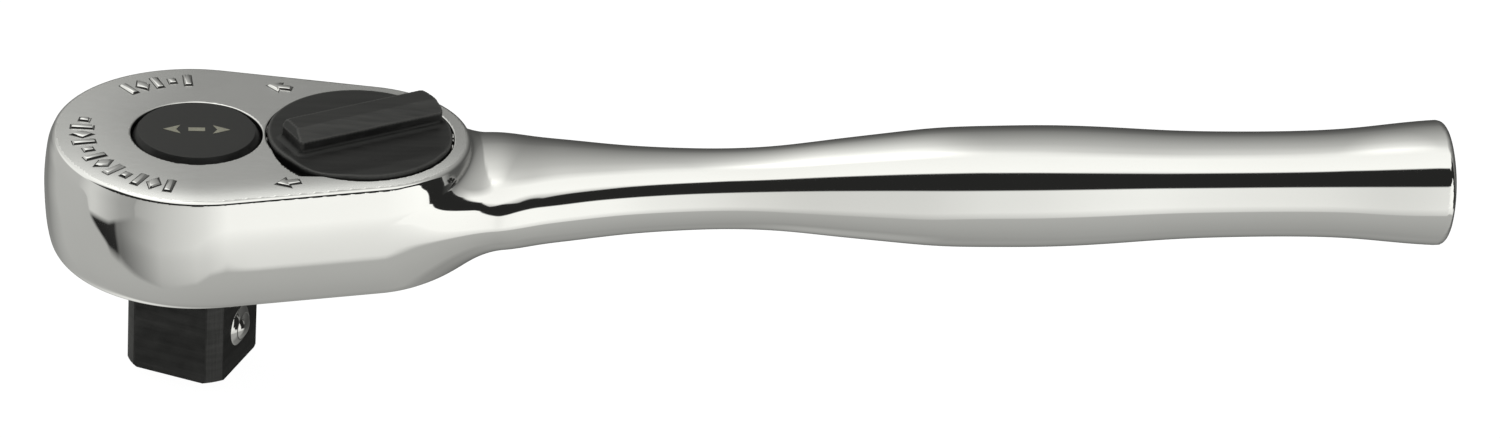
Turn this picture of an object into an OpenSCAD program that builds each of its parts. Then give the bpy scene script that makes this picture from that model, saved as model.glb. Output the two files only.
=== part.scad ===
// Reversible ratchet wrench with a 3/8 inch square drive and a quick release button.
// The drive axis is the Z axis, z = 0 is the head's bottom face, and the handle runs along +X.

/* [Head] */
// Height of the head, bottom face to top face
head_h = 11.3; // [11.1:0.1:12]
// Radius of the top face round the drive axis
nose_r = 12.7; // [12.5:0.1:14]
// Radius of the top face round the dial axis
tail_r = 9.8; // [9.7:0.1:10.5]
// Distance from the drive axis to the dial axis
dial_x = 14.69; // [14.6:0.01:15]
// How far the head's side bulges past its top edge
bulge = 0.9; // [0.6:0.05:1.2]

/* [Handle] */
// Where the handle's flared end stops, measured from the drive axis
handle_end = 115.5; // [112:0.1:125]
// Height of the dome on the handle's end
end_dome = 0.9; // [0.5:0.1:1.5]
// Height of the handle's centre line inside the head
handle_low = 5.5; // [5.4:0.05:5.6]
// Height of the handle's centre line at its end
handle_high = 7.95; // [7:0.05:8.5]

/* [Square drive] */
// Size of the square across its flats
square_af = 9.53; // [9.5:0.01:9.55]
// Height of the square's free end below the head's bottom face
square_reach = 11.6; // [11.4:0.1:12]
// Radius that the square's corners are turned down to
corner_r = 6; // [5.8:0.05:6.5]
// Turned chamfer round the square's free end
square_chamfer = 0.2; // [0.1:0.1:1.2]
// Which way the ball's face looks, in degrees about the drive axis
square_turn = -25.86; // [-45:0.01:45]
// Radius of the detent ball
ball_r = 1.98; // [1.9:0.01:2]
// Height of the ball's centre
ball_z = -7.5; // [-7.6:0.1:-7.3]
// How far the ball stands out of its face
ball_out = 0.8; // [0.6:0.05:0.9]

/* [Gear and pawl] */
// Number of teeth on the gear, a multiple of 4 so that both pawl ends can mesh
teeth = 36; // [36:36:36]
// Radius of the gear's tooth tips
tip_r = 8.6; // [8.5:0.05:8.65]
// Depth of a tooth
tooth_h = 0.85; // [0.75:0.05:0.85]
// Distance from the drive axis to the pawl's pin
pawl_x = 10.4; // [10.35:0.05:10.5]
// How far the pawl rocks to each side of its middle, in degrees
pawl_rock = 7.5; // [7:0.5:8]

/* [Dial] */
// Radius of the dial
dial_r = 8.42; // [8.3:0.01:8.44]
// How far the dial's bar stands above the head's top face
bar_h = 2.05; // [1.8:0.05:2.3]
// How far the bar's near side is from the dial's middle
bar_near = 1.75; // [1.6:0.05:1.9]
// How far the bar's far side is from the dial's middle
bar_far = 2.1; // [1.9:0.05:2.3]
// How far the dial is turned at rest, and to each side of its middle, in degrees
dial_turn = 26; // [24:1:28]

/* [Button] */
// Radius of the release button
button_r = 5.85; // [5.7:0.01:5.86]
// How far the button goes down
button_travel = 1.8; // [1.6:0.1:1.8]

/* [Hidden] */
$fn = 72;
eps = 0.01;
fit = 0.05;
side_angle = acos((nose_r - tail_r) / dial_x);
side_inset = 0.02;
plate_t = 1.4;
rim = 1.8;
gear_low = 2.2;
gear_high = 7.0;
journal_top = 9.6;
journal_r = 7.6;
shoulder_r = 7.2;
shoulder_z = -0.3;
pocket_r = tip_r + 0.35;
flange_r = 6.5;
rod_r = 1.5;
rod_waist = 0.65;
spring_floor = 2.6;
seat_t = 0.3;
stem_r = 3;
drum_r = 1.9;
pin_r = 0.8;
pawl_low = 2.4;
pawl_high = 6.3;
cavity_high = 7.2;
dial_floor = head_h - 1.05;
dial_top = head_h + 0.3;
plunger_z = 4.4;
plunger_r = 0.7;
plunger_reach = 2.75;
stop_at = 6.3;
stop_r = 0.6;
slot_turn = dial_turn + asin(stop_r / stop_at) + 1;
screw_at = [19.1, 3.8];
ball_s = square_af / 2 + ball_out - ball_r;
ball_travel = ball_out + fit;

// Points along a circular arc.
function arc(x, r, from, to, n) = [for (i = [0 : n]) let (a = from + (to - from) * i / n)
  [x + r * cos(a), r * sin(a)]];

// Depth below the top face, and how far the side stands out there, as a share of the bulge.
head_side = [
  [0, -0.05], [0.08, 0.1], [0.25, 0.24], [0.8, 0.5], [1.8, 0.75], [3.2, 0.92], [4.6, 0.985],
  [6.2, 1], [7.4, 0.97], [8.6, 0.84], [9.6, 0.6], [10.4, 0.25], [10.9, -0.1], [11.2, -0.5]
];

// Half of the head's cross-section, for a top face of radius r.
module half_section(r) {
  polygon(concat([[0, 0], [0, head_h]], [for (s = head_side) [r + bulge * s[1], head_h - s[0]]],
    [[r - 1.1, 0]]));
}

// The straight sides stand a hair inside the round ends, so that each meets them along a clean edge.
module head_block() {
  side_length = dial_x * sin(side_angle);
  rotate_extrude() half_section(nose_r);
  at_dial(0) rotate_extrude() half_section(tail_r);
  for (m = [0, 1]) mirror([0, m, 0]) rotate(side_angle) rotate([90, 0, 0])
    linear_extrude(side_length) half_section(nose_r - side_inset);
}

// Handle's radius at places along its centre line, from inside the head to its flared end.
handle_stations = [
  [18, 4.9], [22, 5.25], [26, 5.45], [28, 5.36], [31, 4.96], [34, 4.62], [38.5, 4.14], [43, 3.84],
  [48, 3.71], [53, 3.9], [58, 4.43], [63.5, 5.03], [68, 5.45], [73, 5.6], [78, 5.62], [84, 5.4],
  [90, 5.05], [96, 4.9], [102, 4.92], [107, 5.15], [111, 5.55], [114.4, 5.84]
];
// Smooth curve from b to c, which also passes through a before them and d after them.
function between(a, b, c, d, t) =
  b + t / 2 * (c - a + t * (2 * a - 5 * b + 4 * c - d + t * (3 * (b - c) + d - a)));
function station(k) = handle_stations[max(0, min(len(handle_stations) - 1, k))];
function handle_at(u) = let (k = floor(u))
  between(station(k - 1), station(k), station(k + 1), station(k + 2), u - k);

module handle_bar() {
  start = station(0)[0];
  tilt = atan2(handle_high - handle_low, handle_end - start);
  grip = [for (k = [0 : 0.5 : len(handle_stations) - 1]) handle_at(k)];
  edge = [[handle_end - 0.5, 5.86], [handle_end - 0.15, 5.74], [handle_end, 5.5]];
  dome = [for (a = [20 : 20 : 80]) [handle_end + end_dome * sin(a), 5.5 * cos(a)]];
  outline = concat([[start, 0]], grip, edge, dome, [[handle_end + end_dome, 0]]);
  translate([start, 0, handle_low]) rotate([0, 90 - tilt, 0])
    rotate_extrude() polygon([for (p = outline) [p[1], p[0] - start]]);
}

module at_dial(z) {
  translate([dial_x, 0, z]) children();
}

module disc(r, low, high) {
  translate([0, 0, low]) cylinder(r = r, h = high - low);
}

module tube(inner, outer, low, high) {
  difference() {
    disc(outer, low, high);
    disc(inner, low - eps, high + eps);
  }
}

module torus(major, minor) {
  rotate_extrude() translate([major, 0]) circle(r = minor, $fn = 32);
}

// Block round the head's two axes, made of true arcs and straight sides.
module pear(front_r, back_r, low, high) {
  a = acos((front_r - back_r) / dial_x);
  front = front_r * [cos(a), sin(a)];
  back = [dial_x, 0] + back_r * [cos(a), sin(a)];
  disc(front_r, low, high);
  at_dial(0) disc(back_r, low, high);
  translate([0, 0, low]) linear_extrude(high - low)
    polygon([[0, 0], front, back, [dial_x, 0], [back[0], -back[1]], [front[0], -front[1]]]);
}

module screw_places() {
  for (side = [-1, 1]) translate([screw_at[0], side * screw_at[1], 0]) children();
}

// A closed skin over rings of n points each: its sides, and a flat cap on each end.
module skin(rings) {
  n = len(rings[0]);
  m = len(rings);
  sides = [for (k = [0 : m - 2], i = [0 : n - 1]) let (j = (i + 1) % n)
    [k * n + i, k * n + j, (k + 1) * n + j, (k + 1) * n + i]];
  caps = [[for (i = [n - 1 : -1 : 0]) i], [for (i = [0 : n - 1]) (m - 1) * n + i]];
  polyhedron(points = [for (ring = rings) each ring], faces = concat(sides, caps), convexity = 6);
}

// Coil spring standing on z = 0, with its wire's centre line coil_r from the axis.
module coil(coil_r, wire_r, height, turns) {
  steps = 14 * turns;
  rise = height - 2 * wire_r;
  skin([for (k = [0 : steps]) let (a = 360 * turns * k / steps, z = wire_r + rise * k / steps)
    [for (j = [0 : 5]) let (r = coil_r + wire_r * cos(60 * j), up = wire_r * sin(60 * j))
      [r * cos(a), r * sin(a), z - up]]]);
}

module pawl_room(low, high) {
  intersection() {
    disc(11.7, low, high);
    pear(nose_r - rim - 0.1, tail_r - rim - 0.1, low, high);
    translate([5.2, -11, low]) cube([8, 22, high - low]);
  }
  translate([8, -3.3, low]) cube([dial_x - 8, 6.6, high - low]);
  at_dial(0) disc(3.7, low, high);
}

// Shallow pocket in the top face beside the dial: a round wall on the left and a straight one in front.
module side_pocket() {
  intersection() {
    translate([14.9, -1.95, 0]) disc(8.25, head_h - 0.95, head_h + 1);
    translate([5, -7.75, head_h - 1]) cube([8, 6, 3]);
  }
}

module body() {
  color("gainsboro") difference() {
    union() {
      head_block();
      handle_bar();
    }
    pear(nose_r - rim, tail_r - rim, -1, plate_t);
    disc(pocket_r, plate_t - eps, cavity_high);
    disc(journal_r + fit, cavity_high - eps, journal_top + 0.1);
    disc(button_r + fit, journal_top, head_h + 1);
    pawl_room(plate_t - eps, cavity_high);
    at_dial(0) disc(stem_r + fit, cavity_high - eps, head_h);
    at_dial(0) disc(dial_r + 0.08, dial_floor, head_h + 1);
    translate([pawl_x, 0, 0]) disc(pin_r, cavity_high - eps, cavity_high + 1.4);
    at_dial(0) translate([stop_at, 0, 0]) disc(stop_r, head_h - 2.4, head_h);
    side_pocket();
    screw_places() disc(0.96, plate_t - eps, 6.2);
    translate([-9.9, 0, 0]) disc(0.5, plate_t - eps, 3.5);
  }
}

module cover_plate() {
  color("silver") difference() {
    pear(nose_r - rim - fit, tail_r - rim - fit, 0, plate_t);
    disc(shoulder_r + 0.06, -eps, plate_t + eps);
    at_dial(0) disc(1.25, 0.45, plate_t + eps);
    screw_places() disc(1, -eps, plate_t + eps);
    screw_places() translate([0, 0, -eps]) cylinder(r1 = 1.81, r2 = 1, h = 0.86);
    translate([-9.9, 0, 0]) disc(0.52, -eps, plate_t + eps);
    translate([pawl_x, 0, 0]) disc(pin_r, 0.9, plate_t + eps);
  }
}

module cover_screws() {
  color("dimgray") screw_places() difference() {
    union() {
      translate([0, 0, 0.05]) cylinder(r1 = 1.7, r2 = 0.93, h = 0.8);
      disc(0.93, 0.8, 6);
    }
    translate([0, 0, -eps]) cylinder(r = 0.75, h = 0.6, $fn = 6);
  }
}

module cover_dowel() {
  color("silver") translate([-9.9, 0, 0]) disc(0.5, 0.1, 3.4);
}

// Gear outline grown by g: straight-sided teeth, with a tip at every whole pitch from the X axis.
module gear_outline(g) {
  pitch = 360 / teeth;
  polygon([for (i = [0 : teeth - 1]) each [
    (tip_r + g) * [cos(i * pitch), sin(i * pitch)],
    (tip_r - tooth_h + g) * [cos((i + 0.5) * pitch), sin((i + 0.5) * pitch)]
  ]]);
}

// Square bar with its corners and its free end turned down on a lathe.
module square_bar() {
  c = square_chamfer;
  rotate(square_turn) intersection() {
    translate([0, 0, (1 - square_reach) / 2]) cube([square_af, square_af, 1 + square_reach], center = true);
    rotate_extrude() polygon([[0, 2], [corner_r, 2], [corner_r, c - square_reach],
      [corner_r - c, -square_reach], [0, -square_reach]]);
  }
}

module drive_gear() {
  color("dimgray") difference() {
    union() {
      translate([0, 0, gear_low]) linear_extrude(gear_high - gear_low) gear_outline(0);
      disc(journal_r, gear_high - eps, journal_top);
      disc(shoulder_r, shoulder_z, gear_low + eps);
      square_bar();
    }
    disc(flange_r + 0.1, 6.9, journal_top + eps);
    disc(3.6, spring_floor, 6.9 + eps);
    disc(rod_r + fit, -10.9, spring_floor + eps);
    tube(shoulder_r - 0.6, shoulder_r + 1, 0.25, 1.15);
    rotate(square_turn) translate([0, 0, ball_z]) rotate([0, 90, 0])
      cylinder(r = ball_r + fit, h = ball_s);
    rotate(square_turn) translate([ball_s, 0, ball_z]) sphere(r = ball_r + fit);
  }
}

module drive_seal() {
  color("black") translate([0, 0, 0.7]) torus(shoulder_r - 0.3, 0.29);
}

module thrust_washer() {
  color("goldenrod") tube(shoulder_r + 0.15, tip_r + 0.15, plate_t + 0.05, plate_t + 0.65);
}

module detent_ball() {
  color("gainsboro") rotate(square_turn) translate([ball_s, 0, ball_z]) sphere(r = ball_r);
}

module release_button() {
  crown = 0.12;
  color("black") difference() {
    union() {
      disc(flange_r, 8.9, journal_top);
      disc(button_r, journal_top - eps, head_h - 0.1);
      translate([0, 0, head_h - 0.1 - eps]) cylinder(r1 = button_r, r2 = button_r - 0.5, h = 0.32);
      translate([0, 0, head_h + 0.2]) cylinder(r1 = button_r - 0.5, r2 = button_r - 2.6, h = crown);
    }
    disc(rod_r + 0.02, 8.9 - eps, 10.4);
  }
}

// Release rod: a plain pin with a groove that the ball drops into when the rod goes down.
module release_plunger() {
  ramp = ball_travel / button_travel;
  start = ball_z - 0.41;
  floor_from = start + (rod_r - rod_waist) / ramp;
  floor_to = ball_z + button_travel + 1.7;
  color("silver") rotate_extrude() polygon([
    [0, -8.9], [rod_r - 0.3, -8.9], [rod_r, -8.6], [rod_r, start], [rod_waist, floor_from],
    [rod_waist, floor_to], [rod_r, floor_to + 0.3], [rod_r, 10.3], [0, 10.3]
  ]);
}

module release_spring() {
  color("silver") translate([0, 0, spring_floor + seat_t]) coil(2.6, 0.3, 6, 5);
}

module spring_seat() {
  color("goldenrod") tube(rod_r + 0.1, 3.5, spring_floor, spring_floor + seat_t);
}

// Pawl outline in its middle position: a curved bar, cut by the gear at both ends of its rock.
module pawl_outline() {
  wing = 50;
  difference() {
    union() {
      intersection() {
        circle(r = 10.4);
        polygon([[0, 0], 20 * [cos(wing), -sin(wing)], [20, -20], [20, 20], 20 * [cos(wing), sin(wing)]]);
      }
      translate([pawl_x, 0]) circle(r = 1.7);
    }
    for (side = [-1, 1]) translate([pawl_x, 0]) rotate(side * pawl_rock) translate([-pawl_x, 0]) {
      gear_outline(0.06);
      polygon(concat([[0, 0]], arc(0, tip_r + 0.3, -31, 31, 24)));
    }
    translate([dial_x, 0]) circle(r = plunger_reach + 0.2);
    translate([pawl_x, 0]) circle(r = pin_r + fit);
  }
}

module pawl() {
  color("silver") translate([pawl_x, 0, pawl_low]) rotate(-pawl_rock) translate([-pawl_x, 0, 0])
    linear_extrude(pawl_high - pawl_low) pawl_outline();
}

module pawl_pin() {
  color("silver") translate([pawl_x, 0, 0]) disc(pin_r - 0.01, 0.95, cavity_high + 1.3);
}

// Dial's thumb bar seen along its length: a bevel on the near side of its top, and both sides flaring
// down to the disc.
module bar_shape() {
  scoop = 2.2;
  bevel_w = 1.35;
  bevel_h = 0.35;
  rise = head_h + bar_h - dial_top;
  flare = sqrt(scoop * scoop - (scoop - rise) * (scoop - rise));
  difference() {
    translate([-bar_near - flare, dial_top - 0.5]) square([bar_near + bar_far + 2 * flare, rise + 0.5]);
    translate([-bar_near - flare, dial_top + scoop]) circle(r = scoop);
    translate([bar_far + flare, dial_top + scoop]) circle(r = scoop);
    translate([-bar_near, dial_top + rise])
      polygon([[bevel_w, 0], [-bevel_w, -2 * bevel_h], [-bevel_w, 1], [bevel_w, 1]]);
  }
}

module selector_dial() {
  color("black") at_dial(0) rotate(dial_turn) difference() {
    union() {
      disc(dial_r, dial_floor + fit, dial_top);
      intersection() {
        disc(dial_r - 0.2, dial_floor + 0.5, head_h + bar_h);
        rotate([90, 0, 90]) linear_extrude(3 * dial_r, center = true) bar_shape();
      }
    }
    disc(stem_r, dial_floor, dial_floor + 0.85);
    translate([0, 0, head_h + 0.4]) cube([5.1, 2.04, 2.2], center = true);
    rotate(-slot_turn) rotate_extrude(angle = 2 * slot_turn)
      translate([stop_at - 0.7, dial_floor]) square([1.4, 0.75]);
  }
}

module selector_stem() {
  color("silver") at_dial(0) rotate(dial_turn) difference() {
    union() {
      disc(1.2, 0.55, 1.75);
      disc(drum_r, 1.7, cavity_high);
      disc(stem_r - 0.01, cavity_high - 0.1, dial_floor + 0.8);
      translate([0, 0, head_h]) cube([5, 2, 2.6], center = true);
    }
    tube(drum_r - 0.5, drum_r + 0.05, 6.65, 7.05);
    tube(stem_r - 0.6, stem_r + 1, 8.5, 9.4);
    translate([1.2, 0, plunger_z]) rotate([0, -90, 0]) cylinder(r = plunger_r + fit, h = 5);
  }
}

module selector_seal() {
  color("black") at_dial(8.95) torus(stem_r - 0.3, 0.29);
}

module selector_clip() {
  color("silver") at_dial(0) rotate(dial_turn) difference() {
    tube(drum_r - 0.45, drum_r + 1.4, 6.7, 7);
    translate([0, -0.6, 6]) cube([5, 1.2, 2]);
  }
}

module stop_pin() {
  color("silver") at_dial(0) translate([stop_at, 0, 0]) disc(stop_r - 0.01, head_h - 2.3, dial_floor + 0.65);
}

module plunger_line() {
  at_dial(plunger_z) rotate(dial_turn) rotate([0, -90, 0]) children();
}

module selector_plunger() {
  color("silver") plunger_line() {
    disc(plunger_r, 0.2, plunger_reach - plunger_r);
    translate([0, 0, plunger_reach - plunger_r]) sphere(r = plunger_r);
  }
}

module selector_spring() {
  color("silver") plunger_line() translate([0, 0, -1.2]) coil(0.5, 0.12, 1.38, 4);
}

body();
cover_plate();
cover_screws();
cover_dowel();
drive_gear();
drive_seal();
thrust_washer();
detent_ball();
release_button();
release_plunger();
release_spring();
spring_seat();
pawl();
pawl_pin();
selector_dial();
selector_stem();
selector_seal();
selector_clip();
stop_pin();
selector_plunger();
selector_spring();
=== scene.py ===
import math

import bpy
import numpy as np
from mathutils import Matrix


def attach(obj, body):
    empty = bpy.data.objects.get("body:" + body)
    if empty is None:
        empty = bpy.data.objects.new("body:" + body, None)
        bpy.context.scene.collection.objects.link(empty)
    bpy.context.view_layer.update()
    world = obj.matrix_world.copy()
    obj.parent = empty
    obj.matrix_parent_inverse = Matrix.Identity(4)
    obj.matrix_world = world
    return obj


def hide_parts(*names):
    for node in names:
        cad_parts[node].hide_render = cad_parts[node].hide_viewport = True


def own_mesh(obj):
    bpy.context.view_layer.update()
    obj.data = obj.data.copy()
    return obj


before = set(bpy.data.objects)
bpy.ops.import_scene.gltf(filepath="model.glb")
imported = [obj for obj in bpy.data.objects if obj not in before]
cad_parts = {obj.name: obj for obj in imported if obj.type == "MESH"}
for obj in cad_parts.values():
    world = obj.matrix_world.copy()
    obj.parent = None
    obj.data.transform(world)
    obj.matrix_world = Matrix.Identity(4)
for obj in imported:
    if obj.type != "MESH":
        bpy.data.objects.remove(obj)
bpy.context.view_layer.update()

MM = 0.001
# Sizes in millimetres. The drive's axis is x = y = 0, and z = 0 is the head's under side.
HEAD = 11.3                             # top face
CROWN = 0.0008                          # the top face drops by this times y squared
NOSE_R, TAIL_R = 12.7, 9.8              # outline of the head round the drive and round the dial
DIAL = 14.69                            # the dial's axis, along x
DIAL_R = 8.42
DIAL_TURN = math.radians(26)            # direction of the dial's bar
DIAL_FLOOR = 10.25                      # bottom of the dial's recess
BAR_TOP = 13.35
POCKET_X, POCKET_Y = 14.9, -1.95        # centre of the arc that ends the side pocket
STOP_AT = 6.3                           # stop pin, from the dial's axis
SCREW_X, SCREW_Y = 19.1, 3.8
DOWEL_X = -9.9
PAWL_X = 10.4
PLUNGER_Z = 4.4
SQUARE_TURN = math.radians(-25.86)
SQUARE_HALF = 4.765
BALL_R, BALL_Z, BALL_AT = 1.98, -7.5, 3.585   # BALL_AT is how far its centre is from the drive's axis
HANDLE_X, HANDLE_Z, HANDLE_LEN = 18, 5.5, 97.5
HANDLE_TILT = math.atan2(2.47, 98.2)
FLOOR_Z = -12.5


# ---------------------------------------------------------------- camera
def place_camera():
    azimuth, elevation, roll = math.radians(-8.314), math.radians(28.763), math.radians(4.748)
    target, distance = [50.825, 0.0, 3.118], 463.23
    back = np.array([math.sin(azimuth) * math.cos(elevation), -math.cos(azimuth) * math.cos(elevation),
                     math.sin(elevation)])
    right = np.array([math.cos(azimuth), math.sin(azimuth), 0.0])
    up = np.cross(back, right)
    turned = right * math.cos(roll) + up * math.sin(roll)
    lifted = -right * math.sin(roll) + up * math.cos(roll)
    place = np.array(target) + back * distance
    data = bpy.data.cameras.new("camera")
    data.sensor_width = 36.0
    data.lens = 120.72
    data.clip_start = 0.01
    data.clip_end = 20.0
    camera = bpy.data.objects.new("camera", data)
    bpy.context.scene.collection.objects.link(camera)
    rows = [[turned[i], lifted[i], back[i], place[i] * MM] for i in range(3)] + [[0, 0, 0, 1]]
    camera.matrix_world = Matrix([[float(v) for v in row] for row in rows])
    bpy.context.scene.camera = camera


# ---------------------------------------------------------------- fields, in millimetres
def round_cut(a, b, r):
    """Keeps what is inside both a and b, with their shared edge rounded."""
    return np.minimum(np.maximum(a, b), -r) + np.hypot(np.maximum(a + r, 0), np.maximum(b + r, 0))


def round_join(a, b, r):
    """Joins a and b with a hollow fillet."""
    return np.maximum(np.minimum(a, b), r) - np.hypot(np.maximum(r - a, 0), np.maximum(r - b, 0))


def all_of(*fields):
    """Inside every one of the fields."""
    out = fields[0]
    for f in fields[1:]:
        out = np.maximum(out, f)
    return out


def any_of(*fields):
    """Inside at least one of the fields."""
    out = fields[0]
    for f in fields[1:]:
        out = np.minimum(out, f)
    return out


class Curve:
    """Natural cubic spline through points (x, y)."""

    def __init__(self, points):
        x, y = np.array(points, float).T
        n = len(x)
        h = np.diff(x)
        system = np.zeros((n, n))
        known = np.zeros(n)
        system[0, 0] = system[-1, -1] = 1
        for i in range(1, n - 1):
            system[i, i - 1:i + 2] = h[i - 1], 2 * (h[i - 1] + h[i]), h[i]
            known[i] = 6 * ((y[i + 1] - y[i]) / h[i] - (y[i] - y[i - 1]) / h[i - 1])
        self.x, self.y, self.bend = x, y, np.linalg.solve(system, known)

    def __call__(self, t):
        x, y, c = self.x, self.y, self.bend
        t = np.clip(t, x[0], x[-1])
        k = np.clip(np.searchsorted(x, t) - 1, 0, len(x) - 2)
        h = x[k + 1] - x[k]
        p, q = (x[k + 1] - t) / h, (t - x[k]) / h
        return p * y[k] + q * y[k + 1] + ((p ** 3 - p) * c[k] + (q ** 3 - q) * c[k + 1]) * h * h / 6


def smooth(t):
    """Rises from 0 to 1 as t does, with level ends."""
    t = np.clip(t, 0, 1)
    return t * t * (3 - 2 * t)


def pear(x, y, front, back):
    """Distance to the outline of radius front round the drive and radius back round the dial."""
    k = (front - back) / DIAL
    c = math.sqrt(1 - k * k)
    ay = np.abs(y)
    s = x * c - ay * k
    side = x * k + ay * c - front
    side = np.where(s < 0, np.hypot(x, ay) - front, side)
    return np.where(s > DIAL * c, np.hypot(x - DIAL, ay) - back, side)


# depth below the top face, and how far the head's side stands out there as a share of the bulge
flank_side = Curve([
    (-0.3, 0.06), (0.0, 0.14), (0.8, 0.5), (1.8, 0.75), (3.2, 0.92), (4.6, 0.985), (6.2, 1.0), (7.2, 0.985),
    (8.2, 0.9), (9.4, 0.65), (10.3, 0.33), (10.9, -0.02), (11.3, -0.5), (11.6, -1.0)])
nose_side = Curve([
    (-0.3, 0.06), (0.0, 0.14), (0.8, 0.5), (1.8, 0.74), (3.2, 0.9), (4.6, 0.97), (6.2, 0.93), (7.8, 0.82),
    (9.2, 0.64), (10.1, 0.44), (10.8, 0.14), (11.3, -0.4), (11.6, -0.9)])
# distance along the handle from the drive's axis, and the handle's radius there
grip = Curve([
    (14, 4.7), (18, 4.9), (22, 5.25), (26, 5.4), (28, 5.36), (31, 4.96), (34, 4.62), (38.5, 4.14), (43, 3.84),
    (48, 3.71), (53, 3.9), (58, 4.43), (63.5, 5.03), (68, 5.45), (73, 5.6), (78, 5.62), (84, 5.4), (90, 5.05),
    (96, 4.9), (102, 4.92), (107, 5.15), (111, 5.54), (114.4, 5.82), (117.5, 5.93)])
# the same distance, and how much wider than tall the handle is there
oval = Curve([
    (10, 1.95), (20, 1.85), (24, 1.75), (27, 1.62), (31, 1.42), (36, 1.24), (42, 1.11), (50, 1.03), (58, 1.0),
    (70, 1.0), (90, 1.0), (130, 1.0)])


def body_field(x, y, z):
    bulge = 0.9
    nose = smooth((6 - x) / 9)
    side = flank_side(HEAD - z) * (1 - nose) + nose_side(HEAD - z) * nose
    head = (pear(x, y, NOSE_R, TAIL_R) - bulge * side) * 0.97
    u = (x - HANDLE_X) * math.cos(HANDLE_TILT) + (z - HANDLE_Z) * math.sin(HANDLE_TILT)
    lift = (z - HANDLE_Z) * math.cos(HANDLE_TILT) - (x - HANDLE_X) * math.sin(HANDLE_TILT)
    rho = np.hypot(y, lift)
    # the neck is wider than tall where it flares out to meet the head
    wide = oval(u + HANDLE_X)
    tall = grip(u + HANDLE_X) / np.sqrt(0.2315 * wide ** 2 + 0.7685)
    near = np.hypot(y / wide, lift) / tall
    lean = np.hypot(y / wide ** 2, lift) / tall ** 2 + 1e-6
    bar = np.maximum(near * (near - 1) / lean, -u)
    dome = 0.88 * (1 - np.minimum(rho / 5.6, 1.1) ** 2)
    bar = round_cut(bar, u - HANDLE_LEN - dome, 0.5)
    # the fillet between head and handle is small at the top face and grows downwards
    solid = round_join(head, bar, 0.5 + 3.0 * smooth((11 - z) / 3.4))
    solid = round_cut(solid, z - HEAD + CROWN * y * y, 0.28)
    # the top plane cuts the head only: the handle rises past it further along
    solid = np.where(x < 34, solid, bar)
    solid = round_cut(solid, -z, 0.35)
    at_dial = np.hypot(x - DIAL, y)
    at_drive = np.hypot(x, y)
    low, high = 1.39, 7.2
    pawl_room = any_of(
        all_of(at_drive - 11.7, pear(x, y, 10.8, 7.9), 5.2 - x),
        all_of(np.abs(y) - 3.3, np.abs(x - 11.35) - 3.35),
        at_dial - 3.7)
    inner = any_of(
        all_of(at_drive - 7.65, low - z, z - 9.7),                              # the gear's journal
        all_of(any_of(at_drive - 8.95, pawl_room), low - z, z - high),          # the gear and the pawl
        all_of(at_dial - 3.05, low - z, z - 11),                                # the dial's stem
        all_of(np.hypot(x - DIAL - STOP_AT, y) - 0.6, 8.9 - z, z - 10.6),
        all_of(np.hypot(x - PAWL_X, y) - 0.8, high - 0.1 - z, z - 8.6),
        all_of(np.hypot(x - SCREW_X, np.abs(y) - SCREW_Y) - 0.96, low - z, z - 6.2),
        all_of(np.hypot(x - DOWEL_X, y) - 0.5, low - z, z - 3.5))
    seen = any_of(
        all_of(at_dial - 8.5, DIAL_FLOOR - z),
        all_of(at_drive - 5.9, 9.5 - z),                                        # the button's well
        all_of(pear(x, y, 10.9, 8.0), z - 1.4))                                 # the cover plate
    solid = round_cut(solid, -any_of(seen, inner), 0.14)
    pocket = all_of(np.hypot(x - POCKET_X, y - POCKET_Y) - 8.25, -7.75 - y, y + 1.75, x - 13, 10.35 - z)
    return round_cut(solid, -pocket, 0.08)


def dial_parts(x, y):
    """Distances from the dial's axis, along its bar and across it."""
    c, s = math.cos(DIAL_TURN), math.sin(DIAL_TURN)
    return (x - DIAL) * c + y * s, y * c - (x - DIAL) * s


def dial_field(x, y, z):
    along, across = dial_parts(x, y)
    rho = np.hypot(along, across)
    disc = round_cut(rho - DIAL_R, z - 11.6, 0.3)
    walls = np.maximum(across - 2.1, -across - 1.75)
    ends = np.where(along < 0, -along - 6.95, rho - 7.75)
    bevel = math.atan2(0.5, 1.85)
    top = np.maximum(z - BAR_TOP, (z - BAR_TOP) * math.cos(bevel) - (across - 0.1) * math.sin(bevel))
    chamfer = (-along - 6.95 + z - BAR_TOP) * 0.7071 + 0.36
    bar = round_cut(round_cut(walls, ends, 0.35), np.maximum(top, chamfer), 0.05)
    # a shallow trough runs beside the bar
    disc = round_cut(disc, 5.6 - np.hypot(across + 4.3, z - 16.9), 0.3)
    solid = round_join(disc, bar, 0.55)
    solid = round_cut(solid, rho - DIAL_R, 0.22)
    solid = round_cut(solid, 10.3 - z, 0.08)
    turn = np.abs(np.degrees(np.arctan2(across, along)))
    hollow = any_of(
        all_of(rho - 3.0, z - 11.14),                                           # the stem's head
        all_of(np.abs(along) - 2.55, np.abs(across) - 1.02, z - 12.75),         # the stem's key
        all_of(np.abs(rho - STOP_AT) - 0.7, (turn - 32.5) * 0.11, z - 11.0))    # the stop pin's slot
    return round_cut(solid, -hollow, 0.05)


# ---------------------------------------------------------------- meshes
def levels(*spans):
    """Grid lines from (start, end, step) spans, joined."""
    out = []
    for start, end, step in spans:
        n = max(1, int(round((end - start) / step)))
        out.extend(start + (end - start) * np.arange(n) / n)
    out.append(spans[-1][1])
    return np.array(out)


def slope(field, p, step=0.004):
    """Gradient of a field at points p."""
    g = np.empty_like(p)
    for i in range(3):
        d = np.zeros(3)
        d[i] = step
        hi, lo = p + d, p - d
        g[:, i] = (field(*hi.T) - field(*lo.T)) / (2 * step)
    return g


def settle(field, p, reach, rounds=4):
    """Moves points p onto the field's zero level, by at most reach each round."""
    for _ in range(rounds):
        g = slope(field, p)
        f = field(*p.T)
        move = g * (f / np.maximum((g * g).sum(1), 0.05))[:, None]
        size = np.linalg.norm(move, axis=1)
        p = p - move * np.minimum(1, reach / np.maximum(size, 1e-9))[:, None]
    return p


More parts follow.
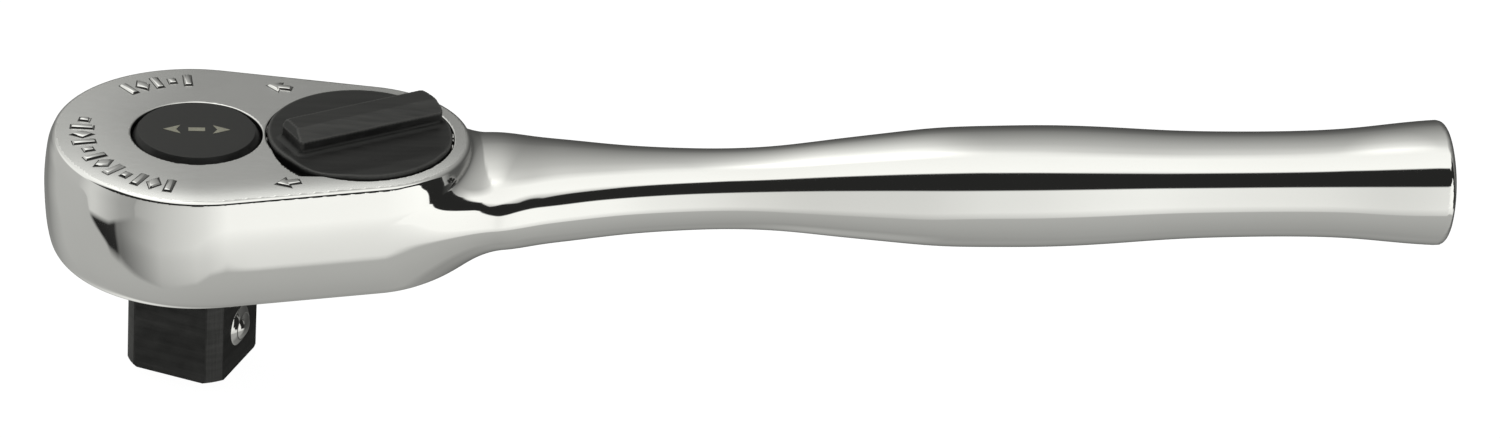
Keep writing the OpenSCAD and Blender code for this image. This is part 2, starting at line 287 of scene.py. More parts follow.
def surface(field, xs, ys, zs, reach):
    """Quads over the zero level of a field, their corners moved exactly onto it, and its normals."""
    lines = [xs, ys, zs]
    values = field(*np.meshgrid(xs, ys, zs, indexing="ij"))
    inside = values < 0
    cells = tuple(len(v) - 1 for v in lines)
    total = np.zeros(cells + (3,))
    count = np.zeros(cells)
    edges = []
    for axis in range(3):
        n = len(lines[axis])
        f0 = np.take(values, np.arange(n - 1), axis)
        f1 = np.take(values, np.arange(1, n), axis)
        s0 = np.take(inside, np.arange(n - 1), axis)
        s1 = np.take(inside, np.arange(1, n), axis)
        at = np.argwhere(s0 != s1)
        i = tuple(at.T)
        t = f0[i] / (f0[i] - f1[i])
        point = np.stack([lines[k][at[:, k]] for k in range(3)], 1)
        point[:, axis] += t * (lines[axis][at[:, axis] + 1] - lines[axis][at[:, axis]])
        b, c = [k for k in range(3) if k != axis]
        corners = []
        for db, dc in ((1, 1), (0, 1), (0, 0), (1, 0)):
            cell = at.copy()
            cell[:, b] -= db
            cell[:, c] -= dc
            np.add.at(total, tuple(cell.T), point)
            np.add.at(count, tuple(cell.T), 1)
            corners.append(cell)
        edges.append((axis, s0[i], corners))
    used = count > 0
    number = np.full(cells, -1)
    number[used] = np.arange(used.sum())
    points = total[used] / count[used][:, None]
    quads = []
    for axis, starts_inside, corners in edges:
        q = np.stack([number[tuple(c.T)] for c in corners], 1)
        flip = starts_inside if axis == 1 else ~starts_inside
        q[flip] = q[flip][:, ::-1]
        quads.append(q)
    quads = np.concatenate(quads)
    points = settle(field, points, reach)
    for _ in range(2):
        mean = np.zeros_like(points)
        near = np.zeros(len(points))
        for k in range(4):
            i, j = quads[:, k], quads[:, (k + 1) % 4]
            np.add.at(mean, i, points[j])
            np.add.at(mean, j, points[i])
            np.add.at(near, i, 1)
            np.add.at(near, j, 1)
        mean /= near[:, None]
        normal = slope(field, points)
        normal /= np.maximum(np.linalg.norm(normal, axis=1), 1e-9)[:, None]
        pull = mean - points
        pull -= normal * (pull * normal).sum(1)[:, None]
        points = settle(field, points + 0.4 * pull, reach, 2)
    normal = slope(field, points)
    normal /= np.maximum(np.linalg.norm(normal, axis=1), 1e-9)[:, None]
    return points, quads, normal


def edge_highlight(piece, points, quads, normals):
    """Marks outer edges, where the surface bends most, for the materials to paint a paler highlight on."""
    bend = np.zeros(len(points))
    near = np.zeros(len(points))
    for k in range(4):
        i, j = quads[:, k], quads[:, (k + 1) % 4]
        d = points[j] - points[i]
        c = ((normals[j] - normals[i]) * d).sum(1) / np.maximum((d * d).sum(1), 1e-4)
        for v in (i, j):
            np.add.at(bend, v, c)
            np.add.at(near, v, 1)
    bend = np.clip((bend / near - 0.5) / 1.6, 0, 1)
    set_values(piece, "edge_highlight", bend)


def set_values(piece, name, values):
    """Stores one number for each point of a mesh, for its material to read."""
    piece.data.attributes.new(name, "FLOAT", "POINT").data.foreach_set("value", values.astype(np.float32))


def add_piece(name, points, faces, normals=None, rounded=True):
    """Mesh object from points in millimetres."""
    mesh = bpy.data.meshes.new(name)
    mesh.from_pydata((np.asarray(points) * MM).tolist(), [], [list(map(int, f)) for f in faces])
    mesh.validate()
    mesh.polygons.foreach_set("use_smooth", [rounded] * len(mesh.polygons))
    if normals is not None and len(mesh.vertices) == len(normals):
        mesh.normals_split_custom_set_from_vertices(np.asarray(normals).tolist())
    mesh.update()
    piece = bpy.data.objects.new(name, mesh)
    bpy.context.scene.collection.objects.link(piece)
    return piece


def lathe(name, profile, segments=128, centre=(0, 0), crease=25):
    """Surface of revolution about a vertical axis; profile is (radius, z), from the top down."""
    points, faces, rings = [], [], []
    for r, z in profile:
        if r < 1e-6:
            rings.append([len(points)])
            points.append((centre[0], centre[1], z))
            continue
        rings.append(list(range(len(points), len(points) + segments)))
        for k in range(segments):
            t = 2 * math.pi * k / segments
            points.append((centre[0] + r * math.cos(t), centre[1] + r * math.sin(t), z))
    for upper, lower in zip(rings, rings[1:]):
        for k in range(segments):
            j = (k + 1) % segments
            if len(upper) == 1:
                faces.append((upper[0], lower[k], lower[j]))
            elif len(lower) == 1:
                faces.append((upper[k], lower[0], upper[j]))
            else:
                faces.append((upper[k], lower[k], lower[j], upper[j]))
    piece = add_piece(name, points, faces)
    piece.data.set_sharp_from_angle(angle=math.radians(crease))
    return piece


def arc(cx, cz, r, start, end, n):
    """Points of a profile's arc, between two angles in degrees."""
    return [(cx + r * math.cos(math.radians(start + (end - start) * k / n)),
             cz + r * math.sin(math.radians(start + (end - start) * k / n))) for k in range(n + 1)]


# ---------------------------------------------------------------- materials
class Nodes:
    """A material under construction, with short calls for the nodes that the finishes share."""

    def __init__(self, name):
        self.material = bpy.data.materials.new(name)
        self.material.use_nodes = True
        self.tree = self.material.node_tree
        self.shader = next(n for n in self.tree.nodes if n.type == "BSDF_PRINCIPLED")
        self.place = self.add("ShaderNodeTexCoord").outputs["Object"]

    def add(self, kind, **inputs):
        node = self.tree.nodes.new(kind)
        for key, value in inputs.items():
            self.put(node, key, value)
        return node

    def put(self, node, key, value):
        """Sets or links an input, by its name or as i and its number."""
        socket = node.inputs[int(key[1:])] if key[0] == "i" and key[1:].isdigit() else node.inputs[key]
        if isinstance(value, bpy.types.NodeSocket):
            self.tree.links.new(value, socket)
        else:
            socket.default_value = value

    def stretched(self, x, y, z, turn=0.0):
        node = self.add("ShaderNodeMapping", Vector=self.place, Scale=(x, y, z), Rotation=(0, 0, turn))
        return node.outputs["Vector"]

    def noise(self, scale, detail=3.0, vector=None, rough=0.55):
        node = self.add("ShaderNodeTexNoise", Scale=scale, Detail=detail, Roughness=rough,
                        Vector=vector or self.place)
        return node.outputs["Fac"]

    def span(self, value, low, high, to_low, to_high):
        node = self.add("ShaderNodeMapRange", i0=value, i1=low, i2=high, i3=to_low, i4=to_high)
        return node.outputs["Result"]

    def math(self, what, a, b=0.0):
        node = self.add("ShaderNodeMath", i0=a, i1=b)
        node.operation = what
        return node.outputs["Value"]

    def blend(self, factor, a, b):
        node = self.tree.nodes.new("ShaderNodeMix")
        node.data_type = "RGBA"
        self.put(node, "i0", factor)
        self.put(node, "i6", a)
        self.put(node, "i7", b)
        return node.outputs[2]

    def bump(self, height, distance, strength=1.0):
        node = self.add("ShaderNodeBump", Height=height, Distance=distance * MM, Strength=strength)
        return node.outputs["Normal"]

    def finish(self, **inputs):
        for key, value in inputs.items():
            self.put(self.shader, key.replace("_", " "), value)
        return self.material


def grey(v, warm=0.0):
    """A grey, a little redder and less blue by warm."""
    return (v * (1 + warm), v, v * (1 - warm), 1.0)


def polished_chrome():
    n = Nodes("polished_chrome")
    hairs = n.noise(2600, 2, n.stretched(0.08, 1, 1))
    smudge = n.noise(60, 4)
    rough = n.math("ADD", n.span(smudge, 0.35, 0.75, 0.035, 0.06), n.span(hairs, 0.5, 0.8, 0.0, 0.02))
    tone = n.blend(n.span(smudge, 0.3, 0.7, 0.0, 1.0), grey(0.90, 0.006), grey(0.87, 0.01))
    return n.finish(Base_Color=tone, Metallic=1.0, Roughness=rough, Normal=n.bump(hairs, 0.0006, 0.25))


def satin_chrome():
    n = Nodes("satin_chrome")
    grain = n.noise(2200, 3, n.stretched(0.35, 1, 1))
    cloud = n.noise(130, 3)
    rough = n.span(cloud, 0.3, 0.7, 0.22, 0.26)
    tone = n.blend(n.span(grain, 0.3, 0.7, 0.0, 1.0), grey(0.77, 0.004), grey(0.74, 0.006))
    return n.finish(Base_Color=tone, Metallic=0.88, Roughness=rough)


def machined_steel(name, tone, rough, scale=900.0, warm=0.01):
    n = Nodes(name)
    lines = n.noise(scale, 3, n.stretched(1, 1, 0.15))
    spots = n.noise(240, 4)
    colour = n.blend(n.span(spots, 0.3, 0.75, 0.0, 1.0), grey(tone, warm), grey(tone * 0.8, warm))
    return n.finish(Base_Color=colour, Metallic=1.0,
                    Roughness=n.span(lines, 0.25, 0.75, rough * 0.75, rough * 1.3),
                    Normal=n.bump(lines, 0.004, 0.35))


def black_oxide():
    """The square drive's finish: cutter lines run along the flats, and upright on the turned corners."""
    n = Nodes("black_oxide")
    flat = n.stretched(1, 1, 1, -SQUARE_TURN)
    parts = n.add("ShaderNodeSeparateXYZ", Vector=flat).outputs
    ring = n.math("SQRT", n.math("ADD", n.math("MULTIPLY", parts["X"], parts["X"]),
                                 n.math("MULTIPLY", parts["Y"], parts["Y"])))
    corner = n.span(ring, 0.00588, 0.00594, 0.0, 1.0)
    level = n.noise(1300, 4, n.stretched(0.06, 0.06, 1))
    upright = n.noise(5200, 3, n.stretched(1, 1, 0.05))
    steps = n.noise(2100, 2, n.stretched(0.1, 0.1, 1))
    turned = n.math("ADD", n.math("MULTIPLY", upright, 0.6), n.math("MULTIPLY", steps, 0.7))
    grain = n.math("ADD", n.math("MULTIPLY", level, n.math("SUBTRACT", 1.0, corner)),
                   n.math("MULTIPLY", turned, corner))
    speck = n.noise(700, 5)
    tone = n.blend(n.span(n.math("ADD", grain, n.math("MULTIPLY", speck, 0.5)), 0.55, 1.15, 0.0, 1.0),
                   grey(0.012), grey(0.05, 0.01))
    rough = n.span(speck, 0.3, 0.75, 0.34, 0.5)
    return n.finish(Base_Color=tone, Metallic=0.35, Roughness=rough, Normal=n.bump(grain, 0.03, 0.55))


def black_plastic(name, tone, streak, low, high, side=1.0, painted_facing_light=False):
    """Black part with faint streaks and fine grain, a painted highlight along its edges, and painted shade on
    its sides, which are darker than its top.
    """
    n = Nodes(name)
    lines = n.noise(1500, 3, n.stretched(0.05, 1, 1, -DIAL_TURN))
    grain = n.noise(4200, 2)
    normal = n.add("ShaderNodeNewGeometry").outputs["Normal"]
    upright = n.add("ShaderNodeSeparateXYZ", Vector=normal).outputs["Z"]
    facing = n.span(upright, 0.55, 0.97, 0.0, 1.0)
    edge = n.add("ShaderNodeAttribute")
    edge.attribute_name = "edge_highlight"
    # painted light when this flag is set: the upward colour is raised here, then scaled point by point by the
    # mesh's stored light values below
    top = tone * 1.9 if painted_facing_light else tone
    body = n.blend(n.span(lines, 0.3, 0.75, 0.0, 1.0),
                   grey(top * (1 - streak)), grey(top * (1 + streak), 0.01))
    # painted shade for the sides: the top's tone scaled down by side
    dark = n.blend(n.span(lines, 0.35, 0.7, 0.0, 1.0), grey(tone * side * 0.7), grey(tone * side * 1.6))
    # painted highlight and shade: the bar's bevel strip keeps all of the raised colour, the rest of the bar
    # about half, the disc and everything lower 0.4 of it
    if painted_facing_light:
        painted_light = n.add("ShaderNodeAttribute")
        painted_light.attribute_name = "painted_light"
        body = n.blend(painted_light.outputs["Fac"], grey(0.0), body)
    # painted shade by facing: upward faces take the top colour, steeper faces the darker painted-shade colour
    colour = n.blend(facing, dark, body)
    # painted highlight: edges where the surface bends most are blended towards a paler grey
    colour = n.blend(n.math("MULTIPLY", edge.outputs["Fac"], 0.75), colour, grey(tone * 3.2, 0.01))
    height = n.math("ADD", n.math("MULTIPLY", lines, 0.7), n.math("MULTIPLY", grain, 0.3))
    return n.finish(Base_Color=colour, Roughness=n.span(lines, 0.25, 0.8, low, high),
                    Normal=n.bump(height, 0.012, 0.35), Specular_IOR_Level=0.35)


def rubber():
    n = Nodes("seal_rubber")
    grain = n.noise(1800, 4)
    tone = n.blend(n.span(grain, 0.3, 0.7, 0.0, 1.0), grey(0.012), grey(0.025))
    return n.finish(Base_Color=tone, Roughness=n.span(grain, 0.3, 0.7, 0.5, 0.7),
                    Normal=n.bump(grain, 0.01, 0.4))


def brass():
    n = Nodes("washer_brass")
    grain = n.noise(900, 4)
    tone = n.blend(n.span(grain, 0.3, 0.7, 0.0, 1.0), (0.78, 0.56, 0.25, 1), (0.6, 0.42, 0.18, 1))
    return n.finish(Base_Color=tone, Metallic=1.0, Roughness=n.span(grain, 0.3, 0.7, 0.2, 0.35),
                    Normal=n.bump(grain, 0.003, 0.4))


def print_paint():
    n = Nodes("print_paint")
    grain = n.noise(3000, 3)
    tone = n.blend(n.span(grain, 0.3, 0.7, 0.0, 1.0), (0.42, 0.41, 0.33, 1), (0.33, 0.32, 0.26, 1))
    return n.finish(Base_Color=tone, Roughness=n.span(grain, 0.3, 0.7, 0.4, 0.6),
                    Normal=n.bump(grain, 0.002, 0.3))


# ---------------------------------------------------------------- light
def ramp(tree, source, stops):
    """Grey ramp over angles in degrees, from -180 to 180."""
    node = tree.nodes.new("ShaderNodeValToRGB")
    node.color_ramp.interpolation = "LINEAR"
    marks = node.color_ramp.elements
    while len(marks) < len(stops):
        marks.new(0.5)
    for mark, (angle, value) in zip(marks, stops):
        mark.position = (angle + 180) / 360
        mark.color = (value, value, value, 1)
    tree.links.new(source, node.inputs["Fac"])
    return node.outputs["Color"]


def studio():
    """Soft boxes and dark gaps, laid out by direction as in a product studio; the camera sees white."""
    world = bpy.data.worlds.new("studio")
    bpy.context.scene.world = world
    world.use_nodes = True
    tree = world.node_tree
    back = next(n for n in tree.nodes if n.type == "BACKGROUND")
    way = tree.nodes.new("ShaderNodeTexCoord").outputs["Generated"]
    parts = tree.nodes.new("ShaderNodeSeparateXYZ")
    tree.links.new(way, parts.inputs["Vector"])

    def calc(what, a, b=0.0):
        node = tree.nodes.new("ShaderNodeMath")
        node.operation = what
        for k, v in enumerate((a, b)):
            if isinstance(v, bpy.types.NodeSocket):
                tree.links.new(v, node.inputs[k])
            else:
                node.inputs[k].default_value = v
        return node.outputs["Value"]

    def blend(factor, a, b):
        node = tree.nodes.new("ShaderNodeMix")
        node.data_type = "RGBA"
        for k, v in ((0, factor), (6, a), (7, b)):
            tree.links.new(v, node.inputs[k])
        return node.outputs[2]

    def step(value, low, high):
        node = tree.nodes.new("ShaderNodeMapRange")
        tree.links.new(value, node.inputs[0])
        node.inputs[1].default_value, node.inputs[2].default_value = low, high
        return node.outputs[0]

    def limit(stops):
        """Height in degrees that changes with the direction round the vertical."""
        node = tree.nodes.new("ShaderNodeSeparateColor")
        tree.links.new(ramp(tree, turn, [(a, (v + 90) / 180) for a, v in stops]), node.inputs[0])
        return calc("SUBTRACT", calc("MULTIPLY", node.outputs[0], 180.0), 90.0)

    # both angles in degrees, then as places on a ramp: turn is 0.5 towards -Y, rise is 0.5 level
    x, y, z = (parts.outputs[k] for k in "XYZ")
    front = calc("MULTIPLY", y, -1.0)
    round_way = calc("DIVIDE", calc("ARCTAN2", calc("MULTIPLY", x, -1.0), front), math.pi / 180)
    height = calc("DIVIDE", calc("ARCSINE", z), math.pi / 180)
    turn = calc("ADD", calc("DIVIDE", round_way, 360.0), 0.5)
    rise = calc("ADD", calc("DIVIDE", height, 360.0), 0.5)

    # in front, upwards: low as far as foot, box to hem, patch to head, a dark gap to brow, then over
    front_box = [(-180, 0.3), (-120, 0.7), (-85, 1.05), (-60, 1.12), (-25, 1.04), (-12, 0.88), (-6, 0.8),
                 (4, 0.72), (27, 0.56)]
    box = ramp(tree, turn, front_box + [
        (47, 0.33), (58, 0.2), (61, 0.19), (63, 0.03), (86, 0.02), (89, 0.47), (130, 0.48), (180, 0.3)])
    patch = ramp(tree, turn, front_box + [
        (45, 0.42), (46, 0.34), (58, 0.38), (67, 0.48), (80, 0.64), (91, 0.68), (113, 0.64), (117, 0.5),
        (180, 0.3)])
    foot = limit([
        (-180, -31), (-60, -30), (-40, -30), (-25, -31.5), (-10, -35), (0, -40), (27, -44), (50, -38),
        (60, -35), (70, -33), (78, -27), (86, -22), (92, -12), (180, -12)])
    head = limit([
        (-180, -24), (-88, -24), (-70, -22), (-65, 0), (-57, 24), (-48, 26), (-40, 22), (-25, 20), (180, 20)])
    brow = limit([(-180, -9), (-87, -9), (-84, 48), (-60, 52), (-40, 43), (-28, 49), (-10, 54), (180, 54)])
    hem = limit([(-180, -22), (44, -16), (68, -22), (180, -22)])
    low = ramp(tree, rise, [(-90, 0.31), (-77, 0.36), (-55, 0.41), (-36, 0.45), (0, 0.46)])
    over = ramp(tree, rise, [
        (-30, 0.46), (5, 0.42), (12, 0.25), (29, 0.27), (38, 0.4), (45, 0.56), (49, 0.75), (54, 1.05),
        (84, 1.0), (90, 0.95)])
    behind = ramp(tree, rise, [
        (-90, 0.31), (-71, 0.34), (-60, 0.3), (-45, 0.18), (-29, 0.09), (-13, 0.07), (0, 0.09), (10, 0.12),
        (20, 0.17), (25, 0.22), (35, 0.29), (46, 0.37), (63, 0.51), (76, 0.7), (83, 0.92), (90, 0.95)])
    left = ramp(tree, rise, [(-90, 0.31), (-29, 0.46), (12, 0.5), (20, 0.9), (60, 1.0), (90, 0.88)])
    above = calc("SUBTRACT", height, foot)
    dim = calc("ADD", calc("MULTIPLY", step(above, 0.0, 14.0), 0.27), 0.73)
    ahead = blend(step(calc("SUBTRACT", height, hem), -1.0, 1.0), calc("MULTIPLY", box, dim), patch)
    ahead = blend(step(above, -1.2, 1.2), low, ahead)
    over = calc("MULTIPLY", over, step(calc("SUBTRACT", height, brow), -1.0, 1.5))
    ahead = blend(step(calc("SUBTRACT", height, head), -1.0, 1.5), ahead, calc("ADD", over, 0.02))
    lift = calc("ADD", calc("MULTIPLY", step(x, 0.127, -0.223), 1.5), 1.0)
    behind = blend(step(x, -0.4, -0.7), calc("MULTIPLY", behind, lift), left)
    mix = blend(step(y, -0.1, 0.12), ahead, behind)
    warmth = (0.99, 1.0, 0.955)
    tinted = tree.nodes.new("ShaderNodeCombineColor")
    for k, share in enumerate(warmth):
        tree.links.new(calc("MULTIPLY", mix, share), tinted.inputs[k])
    ray = tree.nodes.new("ShaderNodeLightPath")
    seen = tree.nodes.new("ShaderNodeMix")
    seen.data_type = "RGBA"
    tree.links.new(ray.outputs["Is Camera Ray"], seen.inputs[0])
    tree.links.new(tinted.outputs[0], seen.inputs[6])
    seen.inputs[7].default_value = (1.0, 1.0, 1.0, 1.0)
    tree.links.new(seen.outputs[2], back.inputs["Color"])
    back.inputs["Strength"].default_value = 1.0


def floor():
    reach, level = 3.0, FLOOR_Z * MM
    mesh = bpy.data.meshes.new("floor")
    corners = [(x * reach, y * reach, level) for x, y in ((-1, -1), (1, -1), (1, 1), (-1, 1))]
    mesh.from_pydata(corners, [], [(0, 1, 2, 3)])
    plane = bpy.data.objects.new("floor", mesh)
    bpy.context.scene.collection.objects.link(plane)
    n = Nodes("floor_paint")
    grain = n.noise(40, 3)
    tone = n.blend(n.span(grain, 0.3, 0.7, 0.0, 1.0), grey(0.12), grey(0.11))
    mesh.materials.append(n.finish(Base_Color=tone, Roughness=0.9, Emission_Color=grey(1.0),
                                   Emission_Strength=0.98))
    plane.visible_glossy = False
    plane.visible_diffuse = False


# ---------------------------------------------------------------- pieces
def body_piece(chrome, satin, steel, black):
    upward, face_z = 0.985, 11.0
    step = 0.25
    xs = levels((-14.0, 33.6, step), (33.6, 48, 0.4), (48, 115.2, 0.8), (115.2, 117.6, 0.15))
    ys = levels((-14.0, 14.0, step))
    # finest where the cavities' floors and the top face's edge are
    zs = levels((-0.2, 0.4, 0.08), (0.4, 1.32, 0.23), (1.32, 1.48, 0.08), (1.48, 5.1, 0.4), (5.1, 7.12, 0.25),
                (7.12, 7.28, 0.08), (7.28, 9.4, 0.21), (9.4, 9.78, 0.09), (9.78, 10.18, 0.2),
                (10.18, 10.42, 0.08), (10.42, 10.96, 0.18), (10.96, 11.38, 0.05), (11.38, 14.0, 0.32))
    points, quads, normals = surface(body_field, xs, ys, zs, 0.2)

    def outline(x, y):
        return pear(x, y, NOSE_R, TAIL_R)

    # the ground top face falls away very slightly towards the rim, which shows in how it shades
    x, y, z = points.T
    rim = -outline(x, y)
    ground = (normals[:, 2] > upward) & (z > face_z) & (rim > -0.3)
    h = 0.05
    out_x = (outline(x + h, y) - outline(x - h, y)) / (2 * h)
    out_y = (outline(x, y + h) - outline(x, y - h)) / (2 * h)
    lean = normals.copy()
    lean[ground, 0] -= (0.22 * np.exp(-(rim / 5.0) ** 2) * np.clip(-out_x, 0, 1))[ground]
    lean[ground, 1] -= (0.03 * np.clip((4 - y) / 8, 0, 1) + 0.42 * np.exp(-(rim / 1.8) ** 2)
                        * np.clip(-out_y, 0, 1) ** 2)[ground]
    lean /= np.linalg.norm(lean, axis=1)[:, None]
    piece = add_piece("wrench_body", points, quads, lean)
    for finish in (chrome, satin, steel, black):
        piece.data.materials.append(finish)
    x, y, z = points[quads].mean(1).T
    up = normals[quads][:, :, 2].min(1)
    finish_index = np.zeros(len(quads), int)
    top = (up > upward) & (z > face_z) & (outline(x, y) < 0.3)
    finish_index[top] = 1
    inner = (pear(x, y, 11.2, 8.3) < -0.05) & (z < 10.0)
    finish_index[inner] = 2
    # painted shade: faces of the chrome body inside the side pocket take a black material for the shade in it
    pocket = (np.hypot(x - POCKET_X, y - POCKET_Y) < 8.36) & (y > -7.86) & (y < -1.6) & (x < 13.1) \
        & (z < 11.16) & (z > 10.28) & (np.hypot(x - DIAL, y) > 8.45)
    finish_index[pocket] = 3
    piece.data.polygons.foreach_set("material_index", finish_index.tolist())
    piece.data.update()
    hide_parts("body")
    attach(piece, "handle")


def dial_piece(black):
    step = 0.17
    xs = levels((DIAL - 8.7, DIAL + 8.7, step))
    ys = levels((-8.7, 8.7, step))
    zs = levels((10.18, 11.2, 0.17), (11.2, 11.9, 0.1), (11.9, 12.8, 0.15), (12.8, 13.5, 0.07))
    points, quads, normals = surface(dial_field, xs, ys, zs, 0.12)
    piece = add_piece("dial", points, quads, normals)
    edge_highlight(piece, points, quads, normals)
    # painted light: the tilted bevel strip on top of the bar gets the full value as a painted highlight, the
    # rest of the bar above 12.6 mm a middle value, and everything lower, the disc included, the least, as
    # painted shade
    raised = points[:, 2] > 12.6
    tilted = raised & (normals[:, 2] > 0.9) & (normals[:, 2] < 0.99)
    painted_light = np.where(tilted, 1.0, np.where(raised, 0.52, 0.4))
    set_values(piece, "painted_light", painted_light)
    piece.data.materials.append(black)
    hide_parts("selector_dial")
    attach(piece, "selector")


def button_piece(black, paint):
    face = [(0, 11.63), (2.6, 11.62), (4.6, 11.595), (5.2, 11.58)] + arc(5.22, 11.5, 0.08, 80, 40, 4)
    bevel = [(5.34, 11.45), (5.62, 11.12), (5.74, 10.9), (5.8, 10.7), (5.85, 10.5)]
    skirt = [(5.85, 9.6), (6.4, 9.6), (6.5, 9.5), (6.5, 9.0), (6.4, 8.9), (1.52, 8.9), (1.52, 10.4),
             (0, 10.4)]
    piece = lathe("button", face + bevel + skirt, 160)
    piece.data.materials.append(black)
    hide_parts("release_button")
    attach(piece, "button")
    # printed sign: a bar between two arrowheads
    points, faces = [], []

    def shape(corners):
        base = len(points)
        for z in (11.645, 11.6):
            points.extend((x, y, z) for x, y in corners)
        n = len(corners)
        faces.append(tuple(range(base, base + n)))
        faces.extend((base + k, base + n + k, base + n + (k + 1) % n, base + (k + 1) % n) for k in range(n))

    shape([(-0.75, -0.32), (0.75, -0.32), (0.75, 0.32), (-0.75, 0.32)])
    for side in (-1, 1):
        corners = [(side * 1.45, -0.8), (side * 3.0, 0.0), (side * 1.45, 0.8), (side * 1.85, 0.0)]
        shape(corners if side > 0 else corners[::-1])
    mark = add_piece("button_mark", points, faces, rounded=False)
    mark.data.materials.append(paint)
    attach(mark, "button")


def ball_piece(steel, dark):
    c, s = math.cos(SQUARE_TURN), math.sin(SQUARE_TURN)
    n = 72
    half_circle = [(BALL_R * math.sin(math.radians(t)), BALL_Z + BALL_R * math.cos(math.radians(t)))
                   for t in range(0, 181, 5)]
    ball = lathe("ball", half_circle, n, (BALL_AT * c, BALL_AT * s), 180)
    ball.data.materials.append(steel)
    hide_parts("detent_ball")
    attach(ball, "ball")
    # staked lip round the ball's hole: radius, and how far it stands out of the square's flat
    ring = [(1.22, 0.3), (1.24, 0.38), (1.36, 0.33), (1.5, 0.26), (1.64, 0.18), (1.78, 0.1), (1.9, 0.03),
            (1.94, -0.02)]
    points, faces = [], []
    for r, out in ring:
        reach = SQUARE_HALF + out
        for k in range(n):
            t = 2 * math.pi * k / n
            along, up = r * math.cos(t), r * math.sin(t)
            points.append((reach * c - along * s, reach * s + along * c, BALL_Z + up))
    for i in range(len(ring) - 1):
        for k in range(n):
            j = (k + 1) % n
            faces.append((i * n + k, (i + 1) * n + k, (i + 1) * n + j, i * n + j))
    lip = add_piece("ball_lip", points, faces)
    lip.data.materials.append(dark)
    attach(lip, "drive")


def coil(name, stands_for, body, finish, size, base, axis):
    """Coil spring from base along axis."""
    coil_r, wire_r, height, turns = size
    axis = np.array(axis, float)
    side = np.cross(axis, (0.0, 1.0, 0.0))
    side /= np.linalg.norm(side)
    other = np.cross(axis, side)
    around, n = 24 * turns, 10
    points, faces = [], []
    for k in range(around + 1):
        a = 2 * math.pi * turns * k / around
        z = wire_r + (height - 2 * wire_r) * k / around
        for j in range(n):
            b = 2 * math.pi * j / n
            r, up = coil_r + wire_r * math.cos(b), z - wire_r * math.sin(b)
            round_axis = r * math.cos(a) * side + r * math.sin(a) * other
            points.append(tuple(np.array(base) + round_axis + up * axis))
    for k in range(around):
        for j in range(n):
            i = (j + 1) % n
            faces.append((k * n + j, k * n + i, (k + 1) * n + i, (k + 1) * n + j))
    faces.append(tuple(reversed(range(n))))
    faces.append(tuple(around * n + j for j in range(n)))
    piece = add_piece(name, points, faces)
    piece.data.set_sharp_from_angle(angle=math.radians(60))
    piece.data.materials.append(finish)
    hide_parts(stands_for)
    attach(piece, body)
    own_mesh(piece)


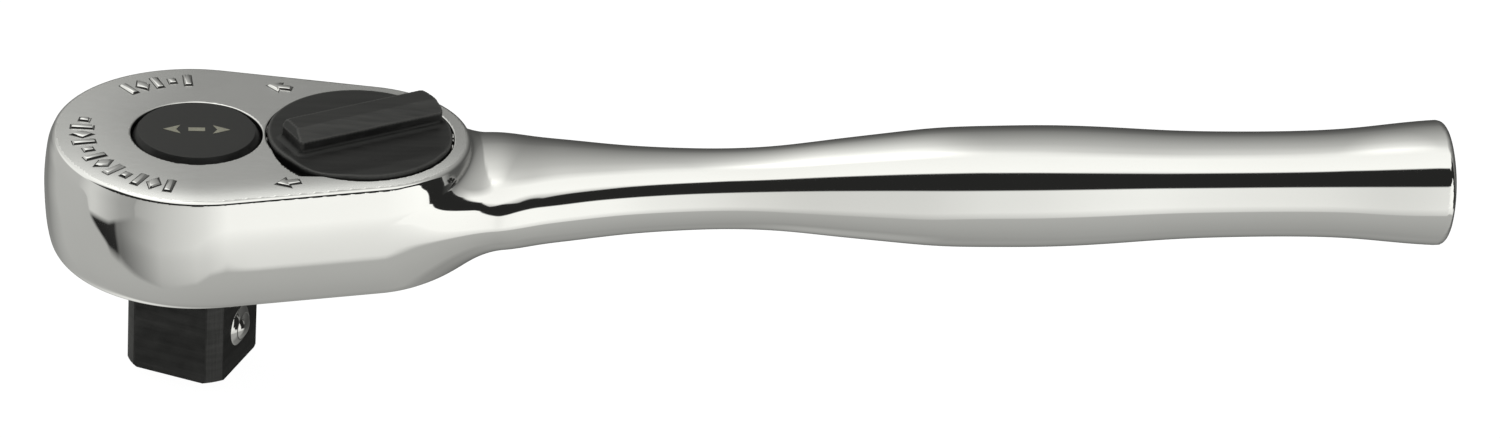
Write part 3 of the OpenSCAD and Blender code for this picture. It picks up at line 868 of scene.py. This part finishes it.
def face_marks(chrome, dark):
    """Raised bars, ticks and diamonds round the nose, and an arrow for each turning direction, each with a
    ring of painted shade round its foot.
    """
    # how far each level of a mark is inside its outline, and how far it stands up
    steps = ((-0.12, 0.004), (-0.02, 0.01), (0.0, 0.04), (0.07, 0.14), (0.14, 0.2), (0.2, 0.215))
    last = len(steps) - 1
    points, faces, kinds = [], [], []

    def inset(outline, d):
        """The outline moved in by d along the bisectors of its corners."""
        out = []
        n = len(outline)
        for k in range(n):
            p, q, r = (np.array(outline[(k + i) % n], float) for i in (-1, 0, 1))
            a, b = (q - p) / np.linalg.norm(q - p), (r - q) / np.linalg.norm(r - q)
            side = np.array([-a[1] - b[1], a[0] + b[0]])
            side /= max(side @ side, 0.5)
            out.append(tuple(q + 2 * d * side))
        return out

    def stamp(outline, cx, cy, turn):
        c, s = math.cos(turn), math.sin(turn)
        n = len(outline)
        base = len(points)
        for d, z in steps:
            for x, y in inset(outline, d):
                gx, gy = cx + x * c - y * s, cy + x * s + y * c
                points.append((gx, gy, HEAD - CROWN * gy * gy + z))
        for level in range(last):
            for k in range(n):
                j = (k + 1) % n
                a, b = base + level * n, base + (level + 1) * n
                faces.append((a + k, a + j, b + j, b + k))
                # painted shade: the lowest ring of each mark, round its foot, takes the dark material
                kinds.append(1 if level == 0 else 0)
        faces.append(tuple(range(base + last * n, base + last * n + n)))
        kinds.append(0)

    bar = [(-0.32, -1.0), (0.32, -1.0), (0.32, 1.0), (-0.32, 1.0)]
    tick = [(-0.32, -0.45), (0.32, -0.45), (0.32, 0.45), (-0.32, 0.45)]
    gem = [(-0.62, 0.0), (0.0, -1.0), (0.62, 0.0), (0.0, 1.0)]
    row_r = 10.25
    angles = list(range(-104, -193, -8)) + [126, 118, 110, 102, 94]
    for k, angle in enumerate(angles):
        t = math.radians(angle)
        stamp((bar, gem, bar, tick)[k % 4], row_r * math.cos(t), row_r * math.sin(t), t - math.pi / 2)
    arrow = [(-1.05, -0.36), (0.0, -0.36), (0.0, -0.85), (1.15, 0.0), (0.0, 0.85), (0.0, 0.36), (-1.05, 0.36)]
    stamp(arrow, 7.7, 9.15, math.radians(165))
    stamp(arrow, 8.0, -9.1, math.radians(-165))
    piece = add_piece("face_marks", points, faces)
    piece.data.set_sharp_from_angle(angle=math.radians(50))
    piece.data.materials.append(chrome)
    piece.data.materials.append(dark)
    piece.data.polygons.foreach_set("material_index", kinds)
    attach(piece, "handle")


def paint_cad(finishes):
    """Gives each CAD piece that stays its finish."""
    for node, finish in finishes.items():
        for slot in bpy.data.objects[node].material_slots:
            slot.material = finish


# ---------------------------------------------------------------- scene
bpy.context.scene.view_settings.view_transform = "Standard"
place_camera()
studio()
floor()
chrome = polished_chrome()
satin = satin_chrome()
steel = machined_steel("bright_steel", 0.75, 0.2)
dark_steel = machined_steel("dark_screw", 0.16, 0.35)
tool = machined_steel("tool_steel", 0.45, 0.3)
plate = machined_steel("satin_plate", 0.6, 0.32, 700.0)
spring = machined_steel("spring_steel", 0.55, 0.25)
ball = machined_steel("ball_steel", 0.82, 0.06, 400.0)
lip = machined_steel("lip_steel", 0.8, 0.07, 500.0)
mark_foot_shade = machined_steel("groove_shade", 0.12, 0.4)
oxide = black_oxide()
dial_black = black_plastic("black_dial", 0.034, 0.3, 0.34, 0.46, 0.4, True)
button_black = black_plastic("black_button", 0.036, 0.06, 0.36, 0.44, 0.3)
# black finish used as painted shade inside the chrome body's side pocket
pocket_shade = black_plastic("pocket_shade", 0.02, 0.2, 0.4, 0.5, 0.6)
body_piece(chrome, satin, tool, pocket_shade)
dial_piece(dial_black)
button_piece(button_black, print_paint())
ball_piece(ball, lip)
face_marks(chrome, mark_foot_shade)
# sizes are the coil's radius, the wire's radius, the height and the number of turns
coil("release_coil", "release_spring", "drive", spring, (2.6, 0.3, 6.0, 5),
     (0.0, 0.0, 2.9), (0, 0, 1))
c, s = math.cos(DIAL_TURN), math.sin(DIAL_TURN)
coil("plunger_coil", "selector_spring", "selector", spring, (0.5, 0.12, 1.38, 4),
     (DIAL + 1.2 * c, 1.2 * s, PLUNGER_Z), (-c, -s, 0))
washer, seal = brass(), rubber()
paint_cad({
    "cover_plate": plate, "cover_screws": dark_steel, "cover_dowel": tool, "drive_gear": oxide,
    "drive_seal": seal, "thrust_washer": washer, "release_plunger": steel, "spring_seat": washer,
    "pawl": tool, "pawl_pin": steel, "selector_stem": tool, "selector_seal": seal,
    "selector_clip": spring, "stop_pin": steel, "selector_plunger": steel})
